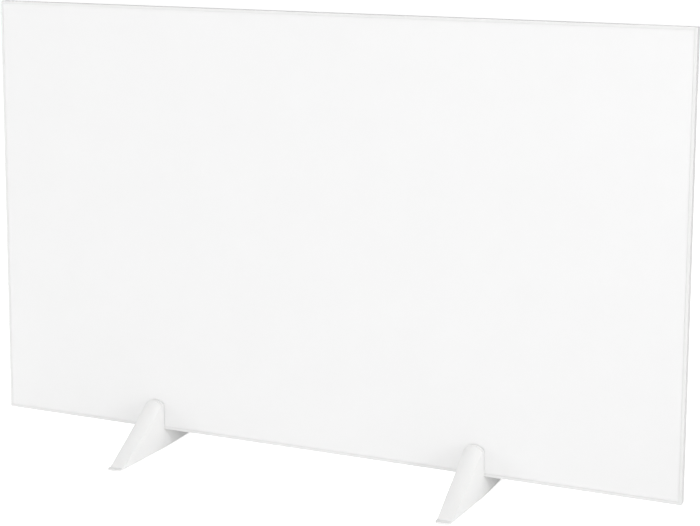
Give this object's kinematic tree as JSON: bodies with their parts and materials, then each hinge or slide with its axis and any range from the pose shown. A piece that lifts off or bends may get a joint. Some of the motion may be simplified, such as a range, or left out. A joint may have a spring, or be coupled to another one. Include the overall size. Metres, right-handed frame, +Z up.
{
  "type": "free-standing partition wall",
  "caption": "Plain white framed panel standing on edge in two low wedge-shaped clamp feet that slide along its lower edge.",
  "frame": {"origin": "on the floor under the middle of the panel", "axes": "+X along the panel to the right seen from its front, +Z up, the front of the panel faces -Y"},
  "size_m": [1, 0.254, 0.628],
  "materials": {
    "frame_white": "satin white powder coat on extruded aluminium",
    "skin_white": "matt white high-pressure laminate",
    "honeycomb": "kraft paper honeycomb",
    "key_grey": "glass-filled nylon",
    "zinc_steel": "bright zinc plate",
    "foot_white": "fine-grained moulded ABS",
    "pad_rubber": "soft rubber",
    "grip_rubber": "pale grey soft saddle",
    "insert_brass": "turned brass",
    "pad_nylon": "natural nylon"
  },
  "bodies": {
    "left_foot": {"left_foot_shell": "foot_white", "left_base_plate": "foot_white", "left_base_screws": "zinc_steel", "left_front_toe_pad": "pad_rubber", "left_rear_toe_pad": "pad_rubber", "left_thread_insert": "insert_brass"},
    "left_clamp_pad": {"left_clamp_pad": "pad_nylon"},
    "left_clamp_screw": {"left_clamp_screw": "zinc_steel"},
    "left_edge_grip": {"left_edge_grip": "grip_rubber"},
    "panel": {"top_rail": "frame_white", "bottom_rail": "frame_white", "left_stile": "frame_white", "right_stile": "frame_white", "front_skin": "skin_white", "rear_skin": "skin_white", "honeycomb_core": "honeycomb", "top_left_key": "key_grey", "top_right_key": "key_grey", "bottom_left_key": "key_grey", "bottom_right_key": "key_grey", "corner_screws": "zinc_steel"},
    "right_edge_grip": {"right_edge_grip": "grip_rubber"},
    "right_foot": {"right_foot_shell": "foot_white", "right_base_plate": "foot_white", "right_base_screws": "zinc_steel", "right_front_toe_pad": "pad_rubber", "right_rear_toe_pad": "pad_rubber", "right_thread_insert": "insert_brass"},
    "right_clamp_pad": {"right_clamp_pad": "pad_nylon"},
    "right_clamp_screw": {"right_clamp_screw": "zinc_steel"}
  },
  "joints": [
    {"name": "panel_lift", "type": "slide", "parent": "left_foot", "child": "left_edge_grip", "axis": [0, 0, 1], "range_m": [0, 0.05]},
    {"name": "left_foot_along_panel", "type": "slide", "parent": "left_edge_grip", "child": "panel", "axis": [1, 0, 0], "range_m": [-0.225, 0.225]},
    {"name": "right_foot_along_panel", "type": "slide", "parent": "panel", "child": "right_edge_grip", "axis": [1, 0, 0], "range_m": [-0.2, 0.225]},
    {"name": "right_foot_lift", "type": "slide", "parent": "right_edge_grip", "child": "right_foot", "axis": [0, 0, 1], "range_m": [-0.05, 0]},
    {"name": "left_clamp_travel", "type": "slide", "parent": "left_foot", "child": "left_clamp_pad", "axis": [0, 1, 0], "range_m": [0, 0.0015]},
    {"name": "left_clamp_turn", "type": "hinge", "parent": "left_clamp_pad", "child": "left_clamp_screw", "pos_m": [-0.253, 0.018, 0.038], "axis": [0, 1, 0], "range_deg": [0, 540]},
    {"name": "right_clamp_travel", "type": "slide", "parent": "right_foot", "child": "right_clamp_pad", "axis": [0, 1, 0], "range_m": [0, 0.0015]},
    {"name": "right_clamp_turn", "type": "hinge", "parent": "right_clamp_pad", "child": "right_clamp_screw", "pos_m": [0.226, 0.018, 0.038], "axis": [0, 1, 0], "range_deg": [0, 540]}
  ],
  "couplings": [
    {"joint": "right_foot_lift", "follows": "panel_lift", "ratio": -1},
    {"joint": "left_clamp_turn", "follows": "left_clamp_travel", "rad_per_m": 6283.2},
    {"joint": "right_clamp_turn", "follows": "right_clamp_travel", "rad_per_m": 6283.2}
  ]
}
